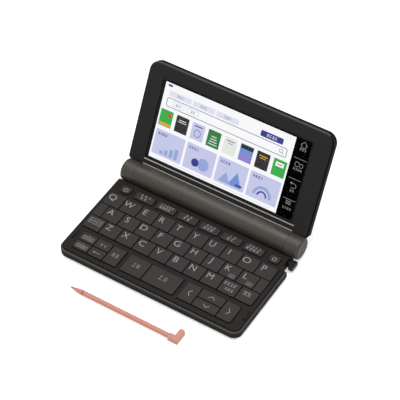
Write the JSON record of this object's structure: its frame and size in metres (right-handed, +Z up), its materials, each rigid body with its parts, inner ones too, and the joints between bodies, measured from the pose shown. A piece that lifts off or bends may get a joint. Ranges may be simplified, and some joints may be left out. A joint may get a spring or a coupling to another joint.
{
  "type": "electronic dictionary",
  "caption": "Clamshell pocket dictionary with a tilting colour touch screen, keyboard, barrel hinge that holds the batteries, and slide-out and loose styluses.",
  "frame": {"origin": "bottom centre of the bounding box of the open dictionary with the loose stylus in front of it, on the surface that they stand on", "axes": "+X to the right along the hinge, +Y to the rear, +Z up"},
  "size_m": [0.1498, 0.1558, 0.0825],
  "materials": {
    "case_plastic": "fine satin texture, charcoal",
    "deck_plastic": "fine satin texture, charcoal",
    "bezel_plastic": "fine satin texture, near black",
    "barrel_plastic": "metallic satin, warm grey brown",
    "key_plastic": "fine matte texture, charcoal",
    "cell_jacket": "plain printed sleeve on a steel can",
    "spring_steel": "plain bright steel",
    "pad_rubber": "matte black",
    "board_laminate": "green solder mask",
    "mat_rubber": "matte dark grey",
    "panel_glass": "clear with a black border behind",
    "screen_glass": "lit screen under clear film",
    "trim_metal": "satin silver",
    "speaker_plastic": "black",
    "dark_stylus": "black",
    "pink_stylus": "salmon pink, softly glossy",
    "tip_plastic": "grey"
  },
  "bodies": {
    "base": {"base_lower_case": "case_plastic", "keyboard_deck": "deck_plastic", "battery_barrel": "barrel_plastic", "battery_cells": "cell_jacket", "battery_contacts": "spring_steel", "case_screws": "spring_steel", "rubber_pads": "pad_rubber", "main_board": "board_laminate", "key_mat": "mat_rubber"},
    "lid": {"lid_back_cover": "case_plastic", "lid_bezel": "bezel_plastic", "touch_panel": "panel_glass", "lcd_module": "screen_glass", "silver_trims": "trim_metal", "speaker": "speaker_plastic", "hinge_pins": "spring_steel"},
    "battery_hatch": {"battery_cover": "barrel_plastic"},
    "bay_stylus": {"stowed_stylus": "dark_stylus"},
    "desk_stylus": {"loose_stylus": "pink_stylus", "loose_stylus_tip": "tip_plastic"},
    "key_a_cap": {"key_a": "key_plastic"},
    "key_b_cap": {"key_b": "key_plastic"},
    "key_back_cap": {"key_back": "key_plastic"},
    "key_c_cap": {"key_c": "key_plastic"},
    "key_d_cap": {"key_d": "key_plastic"},
    "key_delete_cap": {"key_delete": "key_plastic"},
    "key_down_cap": {"key_down": "key_plastic"},
    "key_e_cap": {"key_e": "key_plastic"},
    "key_enter_cap": {"key_enter": "key_plastic"},
    "key_f_cap": {"key_f": "key_plastic"},
    "key_g_cap": {"key_g": "key_plastic"},
    "key_h_cap": {"key_h": "key_plastic"},
    "key_home_cap": {"key_home": "key_plastic"},
    "key_i_cap": {"key_i": "key_plastic"},
    "key_j_cap": {"key_j": "key_plastic"},
    "key_k_cap": {"key_k": "key_plastic"},
    "key_l_cap": {"key_l": "key_plastic"},
    "key_left_cap": {"key_left": "key_plastic"},
    "key_m_cap": {"key_m": "key_plastic"},
    "key_n_cap": {"key_n": "key_plastic"},
    "key_o_cap": {"key_o": "key_plastic"},
    "key_p_cap": {"key_p": "key_plastic"},
    "key_power_cap": {"key_power": "key_plastic"},
    "key_q_cap": {"key_q": "key_plastic"},
    "key_r_cap": {"key_r": "key_plastic"},
    "key_right_cap": {"key_right": "key_plastic"},
    "key_s_cap": {"key_s": "key_plastic"},
    "key_sound_cap": {"key_sound": "key_plastic"},
    "key_space_cap": {"key_space": "key_plastic"},
    "key_symbol_cap": {"key_symbol": "key_plastic"},
    "key_t_cap": {"key_t": "key_plastic"},
    "key_u_cap": {"key_u": "key_plastic"},
    "key_up_cap": {"key_up": "key_plastic"},
    "key_v_cap": {"key_v": "key_plastic"},
    "key_w_cap": {"key_w": "key_plastic"},
    "key_x_cap": {"key_x": "key_plastic"},
    "key_y_cap": {"key_y": "key_plastic"},
    "key_z_cap": {"key_z": "key_plastic"},
    "keys_cluster_cap": {"keys_cluster": "key_plastic"},
    "keys_function_cap": {"keys_function": "key_plastic"}
  },
  "joints": [
    {"name": "battery_cover_slide", "type": "slide", "parent": "base", "child": "battery_hatch", "axis": [0, 0.5736, -0.8192], "range_m": [0, 0.012]},
    {"name": "bay_stylus_slide", "type": "slide", "parent": "base", "child": "bay_stylus", "axis": [1, 0, 0], "range_m": [0, 0.09]},
    {"name": "desk_stylus_lift", "type": "slide", "parent": "base", "child": "desk_stylus", "axis": [0, 0, 1], "range_m": [0, 0.04]},
    {"name": "hinge_lid", "type": "hinge", "parent": "base", "child": "lid", "pos_m": [0, 0.02907, 0.0092], "axis": [1, 0, 0], "range_deg": [-60, 121]},
    {"name": "key_a_press", "type": "slide", "parent": "base", "child": "key_a_cap", "axis": [0, 0, -1], "range_m": [0, 0.0005], "stiffness_N_per_m": 1200},
    {"name": "key_b_press", "type": "slide", "parent": "base", "child": "key_b_cap", "axis": [0, 0, -1], "range_m": [0, 0.0005], "stiffness_N_per_m": 1200},
    {"name": "key_back_press", "type": "slide", "parent": "base", "child": "key_back_cap", "axis": [0, 0, -1], "range_m": [0, 0.0005], "stiffness_N_per_m": 1200},
    {"name": "key_c_press", "type": "slide", "parent": "base", "child": "key_c_cap", "axis": [0, 0, -1], "range_m": [0, 0.0005], "stiffness_N_per_m": 1200},
    {"name": "key_d_press", "type": "slide", "parent": "base", "child": "key_d_cap", "axis": [0, 0, -1], "range_m": [0, 0.0005], "stiffness_N_per_m": 1200},
    {"name": "key_delete_press", "type": "slide", "parent": "base", "child": "key_delete_cap", "axis": [0, 0, -1], "range_m": [0, 0.0005], "stiffness_N_per_m": 1200},
    {"name": "key_down_press", "type": "slide", "parent": "base", "child": "key_down_cap", "axis": [0, 0, -1], "range_m": [0, 0.0005], "stiffness_N_per_m": 1200},
    {"name": "key_e_press", "type": "slide", "parent": "base", "child": "key_e_cap", "axis": [0, 0, -1], "range_m": [0, 0.0005], "stiffness_N_per_m": 1200},
    {"name": "key_enter_press", "type": "slide", "parent": "base", "child": "key_enter_cap", "axis": [0, 0, -1], "range_m": [0, 0.0005], "stiffness_N_per_m": 1200},
    {"name": "key_f_press", "type": "slide", "parent": "base", "child": "key_f_cap", "axis": [0, 0, -1], "range_m": [0, 0.0005], "stiffness_N_per_m": 1200},
    {"name": "key_g_press", "type": "slide", "parent": "base", "child": "key_g_cap", "axis": [0, 0, -1], "range_m": [0, 0.0005], "stiffness_N_per_m": 1200},
    {"name": "key_h_press", "type": "slide", "parent": "base", "child": "key_h_cap", "axis": [0, 0, -1], "range_m": [0, 0.0005], "stiffness_N_per_m": 1200},
    {"name": "key_home_press", "type": "slide", "parent": "base", "child": "key_home_cap", "axis": [0, 0, -1], "range_m": [0, 0.0005], "stiffness_N_per_m": 1200},
    {"name": "key_i_press", "type": "slide", "parent": "base", "child": "key_i_cap", "axis": [0, 0, -1], "range_m": [0, 0.0005], "stiffness_N_per_m": 1200},
    {"name": "key_j_press", "type": "slide", "parent": "base", "child": "key_j_cap", "axis": [0, 0, -1], "range_m": [0, 0.0005], "stiffness_N_per_m": 1200},
    {"name": "key_k_press", "type": "slide", "parent": "base", "child": "key_k_cap", "axis": [0, 0, -1], "range_m": [0, 0.0005], "stiffness_N_per_m": 1200},
    {"name": "key_l_press", "type": "slide", "parent": "base", "child": "key_l_cap", "axis": [0, 0, -1], "range_m": [0, 0.0005], "stiffness_N_per_m": 1200},
    {"name": "key_left_press", "type": "slide", "parent": "base", "child": "key_left_cap", "axis": [0, 0, -1], "range_m": [0, 0.0005], "stiffness_N_per_m": 1200},
    {"name": "key_m_press", "type": "slide", "parent": "base", "child": "key_m_cap", "axis": [0, 0, -1], "range_m": [0, 0.0005], "stiffness_N_per_m": 1200},
    {"name": "key_n_press", "type": "slide", "parent": "base", "child": "key_n_cap", "axis": [0, 0, -1], "range_m": [0, 0.0005], "stiffness_N_per_m": 1200},
    {"name": "key_o_press", "type": "slide", "parent": "base", "child": "key_o_cap", "axis": [0, 0, -1], "range_m": [0, 0.0005], "stiffness_N_per_m": 1200},
    {"name": "key_p_press", "type": "slide", "parent": "base", "child": "key_p_cap", "axis": [0, 0, -1], "range_m": [0, 0.0005], "stiffness_N_per_m": 1200},
    {"name": "key_power_press", "type": "slide", "parent": "base", "child": "key_power_cap", "axis": [0, 0, -1], "range_m": [0, 0.0005], "stiffness_N_per_m": 1200},
    {"name": "key_q_press", "type": "slide", "parent": "base", "child": "key_q_cap", "axis": [0, 0, -1], "range_m": [0, 0.0005], "stiffness_N_per_m": 1200},
    {"name": "key_r_press", "type": "slide", "parent": "base", "child": "key_r_cap", "axis": [0, 0, -1], "range_m": [0, 0.0005], "stiffness_N_per_m": 1200},
    {"name": "key_right_press", "type": "slide", "parent": "base", "child": "key_right_cap", "axis": [0, 0, -1], "range_m": [0, 0.0005], "stiffness_N_per_m": 1200},
    {"name": "key_s_press", "type": "slide", "parent": "base", "child": "key_s_cap", "axis": [0, 0, -1], "range_m": [0, 0.0005], "stiffness_N_per_m": 1200},
    {"name": "key_sound_press", "type": "slide", "parent": "base", "child": "key_sound_cap", "axis": [0, 0, -1], "range_m": [0, 0.0005], "stiffness_N_per_m": 1200},
    {"name": "key_space_press", "type": "slide", "parent": "base", "child": "key_space_cap", "axis": [0, 0, -1], "range_m": [0, 0.0005], "stiffness_N_per_m": 1200},
    {"name": "key_symbol_press", "type": "slide", "parent": "base", "child": "key_symbol_cap", "axis": [0, 0, -1], "range_m": [0, 0.0005], "stiffness_N_per_m": 1200},
    {"name": "key_t_press", "type": "slide", "parent": "base", "child": "key_t_cap", "axis": [0, 0, -1], "range_m": [0, 0.0005], "stiffness_N_per_m": 1200},
    {"name": "key_u_press", "type": "slide", "parent": "base", "child": "key_u_cap", "axis": [0, 0, -1], "range_m": [0, 0.0005], "stiffness_N_per_m": 1200},
    {"name": "key_up_press", "type": "slide", "parent": "base", "child": "key_up_cap", "axis": [0, 0, -1], "range_m": [0, 0.0005], "stiffness_N_per_m": 1200},
    {"name": "key_v_press", "type": "slide", "parent": "base", "child": "key_v_cap", "axis": [0, 0, -1], "range_m": [0, 0.0005], "stiffness_N_per_m": 1200},
    {"name": "key_w_press", "type": "slide", "parent": "base", "child": "key_w_cap", "axis": [0, 0, -1], "range_m": [0, 0.0005], "stiffness_N_per_m": 1200},
    {"name": "key_x_press", "type": "slide", "parent": "base", "child": "key_x_cap", "axis": [0, 0, -1], "range_m": [0, 0.0005], "stiffness_N_per_m": 1200},
    {"name": "key_y_press", "type": "slide", "parent": "base", "child": "key_y_cap", "axis": [0, 0, -1], "range_m": [0, 0.0005], "stiffness_N_per_m": 1200},
    {"name": "key_z_press", "type": "slide", "parent": "base", "child": "key_z_cap", "axis": [0, 0, -1], "range_m": [0, 0.0005], "stiffness_N_per_m": 1200},
    {"name": "keys_cluster_press", "type": "slide", "parent": "base", "child": "keys_cluster_cap", "axis": [0, 0, -1], "range_m": [0, 0.0005], "stiffness_N_per_m": 1200},
    {"name": "keys_function_press", "type": "slide", "parent": "base", "child": "keys_function_cap", "axis": [0, 0, -1], "range_m": [0, 0.0005], "stiffness_N_per_m": 1200}
  ]
}
